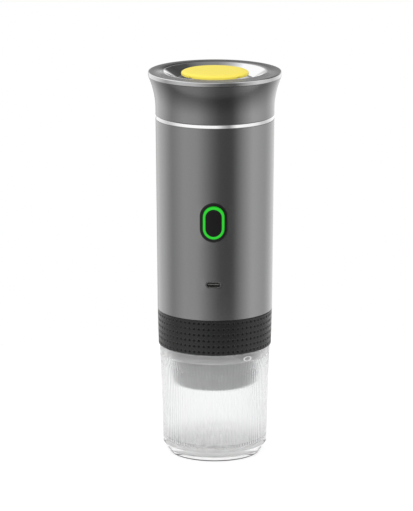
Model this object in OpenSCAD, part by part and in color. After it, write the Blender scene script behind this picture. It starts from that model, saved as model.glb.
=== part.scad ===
// Portable capsule coffee machine: a slim cylinder that stands on its own cup.
// From the top: flared lid with a vent button, water tank, heater, battery and pump bay,
// brew head with the capsule basket, and a fluted clear cup.
// +Z is up, the origin is the centre of the cup's foot, and the power button faces -Y.

/* [Cup] */
// Height from the foot to the cup's rim
cup_h = 66; // [60:1:76]
// How far the cup's rim lies inside the grip ring's lower edge
cup_step = 0.8; // [0.6:0.1:2]
// How much the cup's radius drops from the rim to the chamfer at its foot
cup_taper = 1.8; // [0:0.1:2.4]
// Width of the chamfer between the foot and the wall
cup_chamfer_w = 4.3; // [3:0.1:5]
// Height of the chamfer between the foot and the wall
cup_chamfer_h = 6.4; // [4:0.1:7]
// Wall of the cup at its smooth collar
cup_wall = 3; // [1.8:0.1:3.6]
// Depth of the flutes moulded into the inside of the cup
flute_depth = 0.55; // [0.3:0.05:0.8]
// Number of flutes round the cup
flute_count = 96; // [60:4:120]
// Height of the inner floor over the foot
cup_floor_z = 7; // [5:0.5:9]

/* [Brew head] */
// Height of the dimpled grip ring
grip_h = 21.2; // [20:0.1:26]
// How much the grip ring's radius drops towards its lower edge
grip_taper = 0.5; // [0:0.1:0.8]
// Radial thickness of the grip ring's rubber
grip_t = 1.8; // [1.4:0.1:2]
// Gap between the skirt and the cup's collar, which the seal fills
skirt_gap = 1.4; // [0.6:0.1:2]
// Height of the skirt that the cup slides over
skirt_h = 7.8; // [7:0.2:14]
// How far the nozzle steps in from the skirt
nozzle_step = 4.1; // [3:0.1:5]
// How much the nozzle's radius drops to its lower end
nozzle_taper = 1.7; // [0.5:0.1:3]
// Length of the nozzle below the skirt
nozzle_h = 16.2; // [10:0.2:18]
// Wall of the nozzle and its floor
nozzle_wall = 2; // [1.6:0.1:2.4]
// Radius of the spout hole in the nozzle's floor
spout_r = 4; // [3:0.1:6]
// Inner radius of the capsule basket at its mouth
basket_mouth_r = 15.2; // [14.5:0.1:15.6]
// Inner radius of the capsule basket at its floor
basket_floor_r = 12.4; // [11.5:0.1:13]
// Inner depth of the capsule basket
basket_depth = 25; // [22:0.5:26]
// Wall of the capsule basket
basket_wall = 0.9; // [0.6:0.1:1.2]

/* [Body] */
// Length of the metal body shell
shell_h = 114.2; // [112:0.1:130]
// Outer radius of the shell at its upper edge
shell_top_r = 34.9; // [33:0.05:38]
// Outer radius of the shell at its lower edge
shell_low_r = 33.95; // [33:0.05:38]
// Thickness of the shell where it is thinnest
shell_wall = 1.9; // [1.5:0.1:2.1]
// Height of the bright trim ring
trim_h = 2; // [1.4:0.1:3]

/* [Lid] */
// Height of the lid from the trim ring to its flat rim
lid_h = 25.5; // [22:0.1:28]
// Outer radius of the flared rim
rim_r = 39.2; // [38:0.1:41]
// Height of the straight part before the flare starts
flare_start = 3; // [1:0.5:5]
// Height of the rim's upright edge over the flare
lip_h = 2; // [1.2:0.1:3]
// Radius that rounds the rim's outer edge
rim_round = 0.9; // [0.5:0.1:1.2]
// Inner radius of the flat rim, where the dish starts
dish_r = 30.4; // [28:0.1:32]
// Radius of the dish at its floor
dish_floor_r = 22.6; // [22:0.1:24]
// Wall of the lid's metal shell
lid_wall = 1.2; // [1:0.1:1.4]
// Radius of the vent button
vent_r = 19.8; // [16:0.1:21]
// Thickness of the vent button
vent_t = 2.4; // [2.2:0.1:3.4]
// Travel of the vent button
vent_travel = 1.6; // [1:0.1:1.8]

/* [Water tank] */
// Wall of the collar round the tank
collar_wall = 2.9; // [2.4:0.1:4]
// Sheet thickness of the tank
tank_wall = 0.8; // [0.5:0.1:0.9]
// Height of the threaded neck over the trim ring
neck_h = 9.4; // [7:0.2:10]
// How far the neck lies inside the shell's bore
neck_in = 1.25; // [1:0.05:2]

/* [Power button and socket] */
// Height of the power button's centre over the shell's lower edge
power_up = 58.8; // [50:0.2:66]
// Width of the black frame round the button
frame_w = 16; // [13:0.1:18]
// Height of the black frame
frame_h = 23.3; // [19:0.1:26]
// Width of the frame's black border outside the light ring
frame_edge = 1.5; // [0.8:0.05:2]
// Width of the light ring
glow_w = 1.5; // [1.2:0.05:2.4]
// Travel of the power button
power_travel = 0.8; // [0.4:0.1:1]
// Height of the charging socket's centre over the shell's lower edge
socket_up = 21.6; // [18:0.2:30]
// Width of the charging socket's metal shell
socket_w = 8.94; // [8:0.02:9.6]
// Height of the charging socket's metal shell
socket_h = 3.26; // [2.8:0.02:3.6]

/* [Battery and pump] */
// Length of a battery cell
cell_len = 65; // [60:1:68]
// Length of the pump housing
pump_h = 18; // [16:0.5:22]
// Length of the motor's can
motor_h = 32; // [26:1:36]
// Number of teeth on each pump gear
gear_teeth = 10; // [8:1:12]
// Module of the pump gears
gear_module = 0.8; // [0.6:0.05:0.9]
// Wall of the pump housing outside its gears
pump_wall = 3.1; // [2:0.1:4]

/* [Hidden] */
$fn = 96;

// Named clearances
run = 0.3;          // between pieces that move past each other
fit = 0.1;          // between pieces that are pushed together
shaft_gap = 0.05;   // radial, round a turning shaft
screw_gap = 0.15;   // radial, round a screw's shank
press_gap = 0.02;   // radial, round a pressed pin
socket_gap = 0.22;  // round the charging socket's shell
cut = 1;            // how far a cutting shape runs past the faces that it opens

// Heights of the stack, from the foot up
grip_z = cup_h + run;
shell_z = grip_z + grip_h + run;
trim_z = shell_z + shell_h;
lid_z = trim_z + trim_h + run;
rim_z = trim_z + trim_h + lid_h;
neck_z = trim_z + trim_h + neck_h;

// Outer radius of the shell at a height above its lower edge.
function shell_r(up) = shell_low_r + (shell_top_r - shell_low_r) * up / shell_h;

// Radii from the shell down to the cup and in to the tank
shell_out_r = max(shell_low_r, shell_top_r);
bay_r = min(shell_low_r, shell_top_r) - shell_wall;
grip_inset = 0.05;
grip_top_r = shell_low_r - grip_inset;
grip_low_r = grip_top_r - grip_taper;
cup_rim_r = grip_low_r - cup_step;
cup_low_r = cup_rim_r - cup_taper;
cup_foot_r = cup_low_r - cup_chamfer_w;
neck_r = bay_r - neck_in;
tank_r = neck_r - collar_wall - fit - tank_wall;
core_r = bay_r - fit;

// Cup and brew head
skirt_z = grip_z - skirt_h;
nozzle_z = skirt_z - nozzle_h;
cup_bore_r = cup_rim_r - cup_wall;
skirt_r = cup_bore_r - skirt_gap;
nozzle_top_r = skirt_r - nozzle_step;
nozzle_low_r = nozzle_top_r - nozzle_taper;
flute_root_r = cup_low_r - cup_wall;
foot_rim_w = 2.5;
foot_recess_r = cup_foot_r - foot_rim_w;
cup_floor_t = 4;
foot_recess_h = cup_floor_z - cup_floor_t;
foot_round = 0.6;
flute_drop = 1;
flute_top_z = skirt_z - flute_drop;
grip_bore_r = grip_low_r - grip_t;
sleeve_r = grip_bore_r - fit;
head_top_z = grip_z + grip_h;
carrier_r = sleeve_r - nozzle_wall - fit;
carrier_wall = 2.7;
boss_r = carrier_r - carrier_wall - run;
boss_h = 7;
boss_z = shell_z - boss_h;
seal_t = 2;
flange_t = 1;
flange_top_z = boss_z - seal_t - 2 * fit;
flange_w = 5.3;
flange_r = basket_mouth_r + flange_w;
brew_seal_in = 1.4;
ledge_r = basket_mouth_r + basket_wall + run;
carrier_ledge_t = 2.5;
carrier_z = flange_top_z - flange_t - carrier_ledge_t;
basket_floor_z = flange_top_z - basket_depth;
drain_r = 0.8;
drain_ring_r = 7;
drain_angles = [0 : 60 : 300];
outlet_plate_r = 10;
outlet_plate_t = 1.2;
outlet_hole_r = 0.7;
outlet_ring_r = 2.3;
cup_seal_wire_r = 0.9;
cup_seal_r = cup_bore_r - run - cup_seal_wire_r;
cup_seal_z = skirt_z + skirt_h / 2;

// Brew block at the foot of the body
block_flange_h = 8;
block_top_z = shell_z + block_flange_h;
pierce_plate_in = 2;
pierce_plate_r = basket_mouth_r - pierce_plate_in;
pierce_plate_t = 1.2;
needle_h = 3.4;
needle_ring_r = 7;
needle_angles = [30, 150, 270];
needle_r = 1.2;
needle_tip_r = 0.25;
jet_r = 0.6;
jet_ring_r = 10;
jet_angles = [0 : 60 : 300];
plenum_h = 0.8;
channel_r = 2;
spigot_r = 3.2;
spigot_h = 5;

// Battery and pump bay: the cells fill the room between the pump and the shell
gear_pitch_r = gear_module * gear_teeth / 2;
gear_addendum = 0.7;
pressure_angle = 25;
gear_tip_r = gear_pitch_r + gear_addendum * gear_module;
pump_r = gear_pitch_r + gear_tip_r + fit + pump_wall;
chassis_t = 4;
chassis_top_z = block_top_z + chassis_t;
tab_t = 0.3;
cell_z = chassis_top_z + tab_t;
cell_top_z = cell_z + cell_len;
deck_z = cell_top_z + tab_t + fit;
deck_t = 3;
deck_top_z = deck_z + deck_t;
cell_clear = 0.35;
cell_cup_t = 1;
cell_r = (bay_r - cell_clear - pump_r - cell_cup_t - fit - run) / 2;
cell_pitch_r = bay_r - cell_r - cell_clear;
cell_angles = [0, 90, 180];
cell_cup_h = 5;
nub_r = 3;
nub_h = 0.8;
tab_w = 6;
column_r = 3.2;
column_in = 2;
column_ring_r = bay_r - column_r - column_in;
column_angles = [40, 140];
block_screw_in = 4;
block_screw_ring_r = bay_r - block_screw_in;
block_screw_angles = [62, 118, -40, -140];
screw_r = 1.1;
screw_head_r = 2.2;
screw_head_h = 1.3;
block_screw_len = 8.7;
block_screw_z = chassis_top_z - screw_head_h - fit;
column_screw_len = 12;

// Gear pump and motor, offset so that the two gears share the middle of the bay
gear_root_r = gear_pitch_r - gear_module;
gear_base_r = gear_pitch_r * cos(pressure_angle);
gear_backlash = 0.12;
gear_h = 5;
bearing_h = 2;
shaft_r = 1.5;
drive_x = -gear_pitch_r;
idler_x = gear_pitch_r;
pump_z = chassis_top_z;
pump_cover_h = 6;
pump_body_h = pump_h - pump_cover_h;
gear_z = pump_z + pump_body_h - gear_h - fit;
gallery_y = 1.6;
motor_z = pump_z + pump_h;
motor_r = cell_pitch_r - gear_pitch_r - cell_r - run;
motor_boss_r = 4;
motor_boss_h = 3;
motor_back_t = 9;
shaft_top_z = motor_z + motor_h - motor_back_t;
terminal_size = [2, 0.6, 4];
terminal_x = 6;

// Heater, tank and its collar
heater_r = tank_r + tank_wall / 2;
heater_t = 3.8;
element_in = 9.6;
element_r = heater_r - element_in;
element_w = 4;
element_h = 2.2;
element_open = 60;
element_end_gap = 6;
tank_z = deck_top_z + heater_t;
tank_out_r = tank_r + tank_wall;
collar_flange_h = 6;
collar_bore_r = tank_out_r + fit;
tank_rim_r = neck_r - run;
thermistor_r = 2.5;
thermistor_at = [8, 6];

// Lid
flare_z = lid_z + flare_start;
flare_rise = rim_z - lip_h - flare_z;
flare_out = rim_r - shell_top_r;
flare_r = (flare_rise * flare_rise + flare_out * flare_out) / (2 * flare_out);
notch_angles = [45 : 90 : 315];
notch_w = 2.6;
notch_h = 1;
notch_d = 1.2;
vent_proud = 0.9;
vent_top_z = rim_z + vent_proud;
vent_z = vent_top_z - vent_t;
vent_round = 1.2;
vent_clear = 1.1;
dish_t = 1.2;
dish_floor_z = vent_z - vent_travel - vent_clear;
core_top_z = dish_floor_z - dish_t;
core_skirt_r = shell_top_r - lid_wall - fit;
core_skirt_bore_r = neck_r + run;
core_skirt_up = 1;
core_skirt_z = lid_z + core_skirt_up;
plug_r = tank_r - run;
plug_in = 2;
plug_z = neck_z - plug_in;
plug_wall = 2;
gasket_z = neck_z + fit;
groove_z = gasket_z + seal_t + fit;
well_r = 8.6;
well_wall = 1.8;
well_floor_t = 3.6;
well_z = plug_z + well_floor_t;
vent_pocket_in = 0.2;
vent_pocket_r = well_r - vent_pocket_in;
vent_pocket_h = 1.2;
stem_r = 3;
valve_r = 6;
valve_t = 1.7;
valve_z = plug_z - run - valve_t;
stem_foot_t = 1;
stem_foot_r = 4.5;
spring_wire_r = 0.35;
spring_r = (stem_r + well_r) / 2;
spring_turns = 6;
spring_rings = 8;
spring_steps = spring_turns * spring_rings;
spring_sides = 6;
spring_low_z = well_z + spring_wire_r + shaft_gap;
spring_high_z = vent_z + vent_pocket_h - spring_wire_r - shaft_gap;

// Power button, light ring and circuit board
power_z = shell_z + power_up;
socket_z = shell_z + socket_up;
face_proud = 0.15;
face_r = shell_r(power_up) + face_proud;
frame_in = 2.85;
frame_back_y = -(bay_r - frame_in);
frame_lip = 1.8;
frame_lip_t = 1.2;
glow_out_w = frame_w - 2 * frame_edge;
glow_out_h = frame_h - 2 * frame_edge;
cap_w = glow_out_w - 2 * glow_w;
cap_h = glow_out_h - 2 * glow_w;
cap_gap = 0.2;
cap_lip = 1;
cap_lip_t = 1;
cap_front_r = face_r + face_proud;
cap_back_y = frame_back_y + cap_gap + cap_lip_t;
board_t = 1.6;
board_w = 34;
board_edge = 1;
board_z = chassis_top_z + board_edge;
board_top_z = deck_z - board_edge;
switch_w = 6;
switch_t = 2.4;
board_front_y = cap_back_y + power_travel + 2 * fit + switch_t;
board_back_y = board_front_y + board_t;
switch_front_y = board_front_y - switch_t;
plunger_r = 1.6;
plunger_in = 0.8;
socket_wall = 0.3;
socket_recess = 0.56;
socket_front_y = -(shell_r(socket_up) - socket_recess);
socket_back_t = 0.5;
tongue_w = 6.7;
tongue_h = 0.7;
tongue_in = 0.8;
post_w = 6;
post_d = 6;
post_h = 10;
post_x = 13.5;
board_screw_r = 0.9;
board_screw_head_r = 1.7;
board_screw_head_t = 1.2;
board_screw_len = 6;
board_screw_up = 7;
low_board_screw_z = chassis_top_z + board_screw_up;
high_board_screw_z = deck_z - board_screw_up;
// Blocks on the back of the board: place across, height over its lower edge, and size
board_parts = [[-8.5, 33.7, [8, 4.5, 8]], [8.5, 37.7, [7, 1.2, 7]],
    [8.5, 20.7, [5, 1.2, 6]], [-8.5, 18.7, [6, 1.2, 9]]];

// Water hose from the tank to the pump
hose_r = 2.6;
hose_bore_r = 1.7;
hose_bend_r = 3.2;
hose_gap = 1.6;
hose_y = board_back_y + hose_gap + hose_r;
port_y = hose_y + hose_bend_r;
port_len = -port_y - pump_r;
port_up = 3.4;
port_z = pump_z + port_up;
port_r = hose_bore_r - shaft_gap;
port_bore_r = 1;
hose_under_deck = 0.5;
hose_top_z = deck_z - hose_under_deck;
outlet_overlap = 5.5;
outlet_end_z = hose_top_z - outlet_overlap;

// Shared shapes

// A tube between two heights.
module tube(outer_r, inner_r, low_z, high_z) {
    translate([0, 0, low_z]) difference() {
        cylinder(h = high_z - low_z, r = outer_r);
        translate([0, 0, -1]) cylinder(h = high_z - low_z + 2, r = inner_r);
    }
}

// A solid disc between two heights.
module disc(r, low_z, high_z) {
    translate([0, 0, low_z]) cylinder(h = high_z - low_z, r = r);
}

// A flat outline with straight sides and fully round ends, w by h.
module stadium(w, h) {
    tall = h >= w;
    d = min(w, h);
    straight = max(w, h) - d;
    square(tall ? [d, straight] : [straight, d], center = true);
    for (side = [-1, 1])
        translate(tall ? [0, side * straight / 2] : [side * straight / 2, 0]) circle(d = d);
}

// A stadium carried along Y between two depths, centred at height z.
module front_bar(w, h, z, front_y, back_y) {
    translate([0, back_y, z]) rotate([90, 0, 0])
        linear_extrude(back_y - front_y) stadium(w, h);
}

// Copies of the children at angles round the axis, at one radius.
module around(angles, r) {
    for (a = angles) rotate(a) translate([r, 0, 0]) children();
}

// A pan-head screw that points down, with its head's underside at the origin.
module screw(shank_r, head_r, head_h, length) {
    cylinder(h = head_h, r = head_r);
    translate([0, 0, -length]) cylinder(h = length, r = shank_r);
}

// Lid

// Half section of the lid's outside: a straight foot, a flare on one arc and an upright, rounded rim.
module lid_outline() {
    translate([0, lid_z]) square([shell_top_r, flare_z - lid_z]);
    difference() {
        translate([0, flare_z]) square([rim_r, flare_rise]);
        translate([shell_top_r + flare_r, flare_z]) circle(r = flare_r);
    }
    translate([0, rim_z - lip_h]) square([rim_r, lip_h - rim_round]);
    translate([0, rim_z - rim_round]) square([rim_r - rim_round, rim_round]);
    translate([rim_r - rim_round, rim_z - rim_round]) circle(r = rim_round);
}

// Half section of the hollow under the flared shell, one wall inside the outside.
module lid_hollow() {
    translate([0, lid_z - cut]) square([shell_top_r - lid_wall, flare_z - lid_z + cut]);
    difference() {
        translate([0, flare_z]) square([rim_r, rim_z - lid_wall - flare_z]);
        translate([shell_top_r + flare_r, flare_z]) circle(r = flare_r + lid_wall);
    }
    translate([0, rim_z - lid_wall - cut]) square([dish_r, lid_wall + 2 * cut]);
}

module lid_shell() {
    color("dimgray") rotate_extrude() difference() {
        lid_outline();
        lid_hollow();
    }
}

// Polished dish: a cone from the flat rim to the floor round the vent button's well.
module lid_dish() {
    edge = dish_r - fit;
    color("gray") rotate_extrude() polygon([
        [well_r, dish_floor_z], [dish_floor_r, dish_floor_z], [edge - dish_t, rim_z], [edge, rim_z],
        [edge, rim_z - dish_t], [dish_floor_r + dish_t, core_top_z], [well_r, core_top_z]]);
}

// Inner moulding of the lid: threaded skirt, gasket groove, plug and the vent's spring well.
module lid_core() {
    color("darkslategray") rotate_extrude() difference() {
        polygon([
            [stem_r + fit, plug_z], [plug_r, plug_z], [plug_r, groove_z],
            [core_skirt_bore_r, groove_z], [core_skirt_bore_r, core_skirt_z],
            [core_skirt_r, core_skirt_z], [core_skirt_r, core_top_z],
            [well_r, core_top_z], [well_r, well_z], [stem_r + fit, well_z]]);
        translate([well_r + well_wall, groove_z + plug_wall])
            square([core_skirt_r - plug_wall - well_r - well_wall, core_top_z]);
        translate([well_r + well_wall, plug_z + plug_wall])
            square([plug_r - plug_wall - well_r - well_wall, core_top_z]);
    }
}

module lid_gasket() {
    color("whitesmoke") tube(tank_rim_r, plug_r + run, gasket_z, gasket_z + seal_t);
}

// Half section of the push button, with a pocket underneath for the spring.
module vent_section() {
    difference() {
        union() {
            translate([0, vent_z]) square([vent_r, vent_t - vent_round]);
            translate([0, vent_z]) square([vent_r - vent_round, vent_t]);
            translate([vent_r - vent_round, vent_top_z - vent_round]) circle(r = vent_round);
        }
        translate([0, vent_z - cut]) square([vent_pocket_r, vent_pocket_h + cut]);
    }
}

// Push button with four finger notches in its lower edge.
module vent_button() {
    color("gold") difference() {
        rotate_extrude() vent_section();
        around(notch_angles, vent_r)
            translate([-notch_d, -notch_w / 2, vent_z - cut]) cube([notch_d + cut, notch_w, notch_h + cut]);
    }
}

module vent_stem() {
    color("dimgray") {
        disc(stem_r, valve_z - stem_foot_t, vent_z + vent_pocket_h);
        disc(stem_foot_r, valve_z - stem_foot_t, valve_z);
    }
}

module vent_valve() {
    color("whitesmoke") tube(valve_r, stem_r + press_gap, valve_z, valve_z + valve_t);
}

// One unbroken wire: rings of points carried round a helix, then skinned.
function spring_point(i, k) =
    let (a = 360 * i / spring_rings, b = 360 * k / spring_sides, r = spring_r + spring_wire_r * cos(b))
    [r * cos(a), r * sin(a),
     spring_low_z + (spring_high_z - spring_low_z) * i / spring_steps + spring_wire_r * sin(b)];
least_turn_gap = min([for (i = [0 : spring_steps - spring_rings], k = [0 : spring_sides - 1],
    n = [0 : spring_sides - 1]) norm(spring_point(i, k) - spring_point(i + spring_rings, n))]);
echo(least_turn_gap = least_turn_gap);
module vent_spring() {
    points = [for (i = [0 : spring_steps], k = [0 : spring_sides - 1]) spring_point(i, k)];
    last = spring_steps * spring_sides;
    sides = [for (i = [0 : spring_steps - 1], k = [0 : spring_sides - 1])
        let (n = (k + 1) % spring_sides, a = i * spring_sides, b = a + spring_sides)
        each [[a + k, a + n, b + n], [a + k, b + n, b + k]]];
    caps = [[for (k = [spring_sides - 1 : -1 : 0]) k], [for (k = [0 : spring_sides - 1]) last + k]];
    color("silver") polyhedron(points, concat(sides, caps));
}

// Body and tank

module trim_ring() {
    color("white") tube(shell_top_r, neck_r + fit, trim_z, trim_z + trim_h);
}

// Tapered metal tube with the openings for the power button and the charging socket.
module body_shell() {
    color("dimgray") difference() {
        translate([0, 0, shell_z]) cylinder(h = shell_h, r1 = shell_low_r, r2 = shell_top_r);
        disc(bay_r, shell_z - cut, trim_z + cut);
        front_bar(frame_w + 2 * fit, frame_h + 2 * fit, power_z, -shell_out_r - cut,
            frame_back_y);
        front_bar(socket_w + 2 * socket_gap, socket_h + 2 * socket_gap, socket_z,
            -shell_out_r - cut, frame_back_y);
    }
}

// Plastic ring that carries the tank's rim and the lid's thread.
module tank_collar() {
    color("darkslategray") rotate_extrude() polygon([
        [collar_bore_r, trim_z - collar_flange_h], [core_r, trim_z - collar_flange_h],
        [core_r, trim_z], [neck_r, trim_z], [neck_r, neck_z - tank_wall],
        [collar_bore_r, neck_z - tank_wall]]);
}

// Drawn steel cup with a rolled-out rim and an outlet tube through its floor.
module water_tank() {
    color("silver") difference() {
        union() {
            rotate_extrude() polygon([
                [0, tank_z], [tank_out_r, tank_z], [tank_out_r, neck_z - tank_wall],
                [tank_rim_r, neck_z - tank_wall], [tank_rim_r, neck_z], [tank_r, neck_z],
                [tank_r, tank_z + tank_wall], [0, tank_z + tank_wall]]);
            translate([0, hose_y, 0]) disc(port_r, outlet_end_z, tank_z + tank_wall / 2);
        }
        translate([0, hose_y, 0]) disc(port_bore_r, outlet_end_z - cut, tank_z + tank_wall + cut);
    }
}

module tank_insulation() {
    color("lightyellow") tube(core_r, collar_bore_r, deck_top_z, trim_z - collar_flange_h);
}

module heater_plate() {
    color("silver") difference() {
        disc(heater_r, deck_top_z, tank_z);
        translate([0, 0, deck_top_z - cut]) heater_ring(element_w + 2 * fit, element_h + cut + fit,
            element_end_gap);
        translate([0, hose_y, 0]) disc(port_r + run, deck_top_z - cut, tank_z + cut);
    }
}

// A flat horseshoe that leaves the front open for the outlet tube.
module heater_ring(w, h, extra_angle) {
    rotate(element_open / 2 - 90 - extra_angle / 2)
        rotate_extrude(angle = 360 - element_open + extra_angle)
            translate([element_r - w / 2, 0]) square([w, h]);
}

module heater_element() {
    color("firebrick") translate([0, 0, deck_top_z]) heater_ring(element_w, element_h, 0);
}

module thermistor() {
    color("goldenrod") translate(thermistor_at) disc(thermistor_r, deck_z, deck_top_z);
}

// Battery bay

// Open-sided rings that hold the ends of the cells, clear of the tabs under them.
module cell_cups(low_z, high_z, tab_z) {
    difference() {
        intersection() {
            around(cell_angles, cell_pitch_r)
                tube(cell_r + fit + cell_cup_t, cell_r + fit, low_z, high_z);
            disc(core_r - cell_cup_t, low_z, high_z);
        }
        for (a = [0, 90]) tab_bar(a, tab_z - fit, fit);
    }
}

// A flat strip from the cell at one angle to the next, grown all round by a clearance.
module tab_bar(angle, z, grow) {
    step = cell_angles[1] - cell_angles[0];
    length = 2 * cell_pitch_r * sin(step / 2) + tab_w;
    rotate(angle + step / 2)
        translate([cell_pitch_r * cos(step / 2) - tab_w / 2 - grow, -length / 2 - grow, z])
            cube([tab_w + 2 * grow, length + 2 * grow, tab_t + 2 * grow]);
}

// Pillars behind the circuit board that take its screws.
module board_posts(low_z) {
    for (side = [-1, 1])
        translate([side * post_x - post_w / 2, board_back_y, low_z]) cube([post_w, post_d, post_h]);
}

// Holes for the circuit board's screws, at one height.
module board_screw_holes(z, r) {
    for (side = [-1, 1])
        translate([side * post_x, board_front_y - cut, z]) rotate([-90, 0, 0])
            cylinder(h = board_screw_len + fit + cut, r = r);
}

// Deck under the heater, with cups for the upper ends of the cells.
module upper_chassis() {
    color("darkslategray") difference() {
        union() {
            disc(core_r, deck_z, deck_top_z);
            cell_cups(deck_z - cell_cup_h, deck_z, cell_top_z);
            board_posts(deck_z - post_h);
        }
        translate([0, hose_y, 0]) disc(port_r + run, deck_z - cut, deck_top_z + cut);
        translate(thermistor_at) disc(thermistor_r + fit, deck_z - cut, deck_top_z + cut);
        around(column_angles, column_ring_r) {
            disc(screw_r + screw_gap, deck_z - cut, deck_top_z + cut);
            disc(screw_head_r + screw_gap, deck_top_z - screw_head_h - fit, deck_top_z + cut);
        }
        board_screw_holes(high_board_screw_z, board_screw_r + press_gap);
    }
}

// Plate on the brew block with cups for the cells and two columns that carry the deck.
module lower_chassis() {
    color("darkslategray") difference() {
        union() {
            disc(core_r, block_top_z, chassis_top_z);
            cell_cups(chassis_top_z, chassis_top_z + cell_cup_h, chassis_top_z);
            around(column_angles, column_ring_r) disc(column_r, chassis_top_z, deck_z);
            board_posts(chassis_top_z);
        }
        translate([0, gallery_y, 0]) disc(spigot_r + fit, block_top_z - cut, chassis_top_z + cut);
        around(block_screw_angles, block_screw_ring_r) {
            disc(screw_r + screw_gap, block_top_z - cut, chassis_top_z + cut);
            disc(screw_head_r + screw_gap, chassis_top_z - screw_head_h - fit, chassis_top_z + cut);
        }
        around(column_angles, column_ring_r)
            disc(screw_r + press_gap, deck_z - column_screw_len, deck_z + cut);
        board_screw_holes(low_board_screw_z, board_screw_r + press_gap);
    }
}

module battery_cell() {
    cylinder(h = cell_len - nub_h, r = cell_r);
    cylinder(h = cell_len, r = nub_r);
}

// Three cells in series, so the middle one stands on its head.
module battery_cells() {
    color("steelblue") for (i = [0 : len(cell_angles) - 1])
        rotate(cell_angles[i]) translate([cell_pitch_r, 0, i % 2 == 0 ? cell_z : cell_top_z])
            mirror([0, 0, i % 2]) battery_cell();
}

module battery_tabs() {
    color("silver") {
        tab_bar(cell_angles[0], chassis_top_z, 0);
        tab_bar(cell_angles[1], cell_top_z, 0);
        for (end = [[cell_angles[0], cell_top_z], [cell_angles[2], chassis_top_z]])
            rotate(end[0]) translate([cell_pitch_r - tab_w / 2, -tab_w / 2, end[1]])
                cube([tab_w, tab_w, tab_t]);
    }
}

// Pump and motor

// Half width of a tooth, in degrees, at radius r on an involute flank.
function involute(a) = tan(a) * 180 / PI - a;
function tooth_half(r) = 90 / gear_teeth - gear_backlash / gear_pitch_r * 45 / PI
    + involute(pressure_angle) - involute(r > gear_base_r ? acos(gear_base_r / r) : 0);
flank_radii = [gear_root_r, max(gear_base_r, gear_root_r), (gear_base_r + gear_tip_r) / 2, gear_tip_r];

module gear_outline() {
    polygon([for (t = [0 : gear_teeth - 1]) let (mid = 360 * t / gear_teeth)
        each concat(
            [for (r = flank_radii) let (a = mid - tooth_half(r)) r * [cos(a), sin(a)]],
            [for (i = [len(flank_radii) - 1 : -1 : 0])
                let (r = flank_radii[i], a = mid + tooth_half(r)) r * [cos(a), sin(a)]])]);
}

module gear(bore_r) {
    linear_extrude(gear_h) difference() {
        gear_outline();
        circle(r = bore_r);
    }
}

module drive_gear() {
    color("ivory") translate([drive_x, 0, gear_z]) gear(shaft_r + press_gap);
}

// The idler has a gap where the drive gear has a tooth.
module idler_gear() {
    color("ivory") translate([idler_x, 0, gear_z]) rotate(180 + 180 / gear_teeth)
        gear(shaft_r + shaft_gap);
}

module motor_shaft() {
    color("silver") translate([drive_x, 0, 0]) disc(shaft_r, gear_z - bearing_h, shaft_top_z);
}

module idler_pin() {
    color("silver") translate([idler_x, 0, 0])
        disc(shaft_r, gear_z - bearing_h, gear_z + gear_h + fit + bearing_h);
}

// Housing of the gear pump: inlet port at the front, outlet spigot down into the brew block.
module pump_body() {
    color("ivory") difference() {
        union() {
            disc(pump_r, pump_z, pump_z + pump_body_h);
            translate([0, gallery_y, 0]) disc(spigot_r, block_top_z - spigot_h, pump_z);
            translate([0, port_y, port_z]) rotate([-90, 0, 0])
                cylinder(h = pump_r / 2 + port_len, r = port_r);
        }
        for (x = [drive_x, idler_x]) translate([x, 0, 0])
            disc(gear_tip_r + fit, gear_z - fit, pump_z + pump_body_h + cut);
        translate([drive_x, 0, 0]) disc(shaft_r + shaft_gap, gear_z - bearing_h - fit, gear_z);
        translate([idler_x, 0, 0]) disc(shaft_r + press_gap, gear_z - bearing_h - press_gap, gear_z);
        translate([0, gallery_y, 0]) disc(port_bore_r, block_top_z - spigot_h - cut, gear_z);
        translate([0, -gallery_y, 0]) disc(port_bore_r, port_z, gear_z);
        translate([0, port_y - cut, port_z]) rotate([-90, 0, 0])
            cylinder(h = -port_y - gallery_y + cut, r = port_bore_r);
    }
}

module pump_cover() {
    color("gainsboro") difference() {
        disc(pump_r, pump_z + pump_body_h, motor_z);
        translate([drive_x, 0, 0]) disc(shaft_r + shaft_gap, pump_z + pump_body_h - cut, motor_z + cut);
        translate([idler_x, 0, 0])
            disc(shaft_r + press_gap, pump_z + pump_body_h - cut,
                pump_z + pump_body_h + bearing_h + press_gap);
    }
}

// Motor can with its rear bearing boss and two solder terminals.
module pump_motor() {
    color("silver") translate([drive_x, 0, 0]) {
        tube(motor_r, shaft_r + shaft_gap, motor_z, shaft_top_z + fit);
        disc(motor_r, shaft_top_z + fit, motor_z + motor_h);
        disc(motor_boss_r, motor_z + motor_h, motor_z + motor_h + motor_boss_h);
        for (side = [-1, 1])
            translate([side * terminal_x - terminal_size[0] / 2, -terminal_size[1] / 2,
                motor_z + motor_h]) cube(terminal_size);
    }
}

// Soft tube from the tank's outlet down to the pump's inlet port.
module inlet_hose() {
    color("whitesmoke") {
        translate([0, hose_y, 0]) tube(hose_r, hose_bore_r, port_z + hose_bend_r, hose_top_z);
        translate([0, port_y, port_z + hose_bend_r]) rotate([90, 0, 90]) rotate(180)
            rotate_extrude(angle = 90) translate([hose_bend_r, 0]) difference() {
                circle(r = hose_r);
                circle(r = hose_bore_r);
            }
        translate([0, port_y, port_z]) rotate([-90, 0, 0])
            tube(hose_r, hose_bore_r, 0, port_len - fit);
    }
}

// Electronics and power button

// Circuit board with its chips and a boost coil on the back, either side of the hose.
module control_board() {
    color("darkgreen") difference() {
        union() {
            translate([-board_w / 2, board_front_y, board_z])
                cube([board_w, board_t, board_top_z - board_z]);
            for (p = board_parts)
                translate([p[0] - p[2][0] / 2, board_back_y, board_z + p[1] - p[2][2] / 2]) cube(p[2]);
        }
        board_screw_holes(low_board_screw_z, board_screw_r + screw_gap);
        board_screw_holes(high_board_screw_z, board_screw_r + screw_gap);
    }
}

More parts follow.
